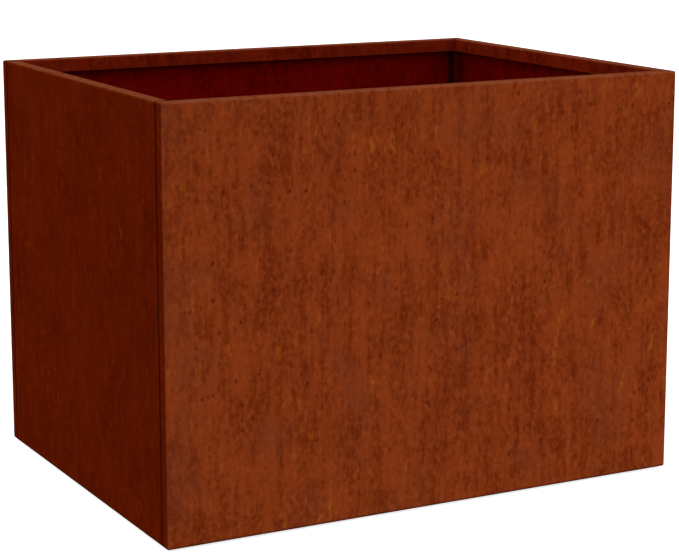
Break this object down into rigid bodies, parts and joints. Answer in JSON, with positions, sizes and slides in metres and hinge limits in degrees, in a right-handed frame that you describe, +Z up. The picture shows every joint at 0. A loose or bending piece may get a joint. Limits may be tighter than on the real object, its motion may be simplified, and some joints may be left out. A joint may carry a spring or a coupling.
{
  "type": "planter box",
  "caption": "Rectangular open-top planter of folded weathering-steel sheet with a double-folded rim, seams set back from the corners and a base with drain holes.",
  "frame": {"origin": "on the ground under the middle of the box", "axes": "+Z up, +X along the long side towards the right, -Y towards the front"},
  "size_m": [0.8, 0.6, 0.59],
  "materials": {
    "weathering_steel": "matt rust patina, mottled, with soft vertical streaks and small dark pits",
    "zinc_plated_steel": "dull zinc plating",
    "black_rubber": "matt"
  },
  "bodies": {
    "root": {"front_panel": "weathering_steel", "back_panel": "weathering_steel", "left_panel": "weathering_steel", "right_panel": "weathering_steel", "base_panel": "weathering_steel", "front_left_bolts": "zinc_plated_steel", "front_right_bolts": "zinc_plated_steel", "back_left_bolts": "zinc_plated_steel", "back_right_bolts": "zinc_plated_steel", "front_left_bolt_washers": "zinc_plated_steel", "front_right_bolt_washers": "zinc_plated_steel", "back_left_bolt_washers": "zinc_plated_steel", "back_right_bolt_washers": "zinc_plated_steel", "front_left_nut_washers": "zinc_plated_steel", "front_right_nut_washers": "zinc_plated_steel", "back_left_nut_washers": "zinc_plated_steel", "back_right_nut_washers": "zinc_plated_steel", "front_left_nuts": "zinc_plated_steel", "front_right_nuts": "zinc_plated_steel", "back_left_nuts": "zinc_plated_steel", "back_right_nuts": "zinc_plated_steel", "front_left_pad": "black_rubber", "front_right_pad": "black_rubber", "back_left_pad": "black_rubber", "back_right_pad": "black_rubber"}
  },
  "joints": []
}
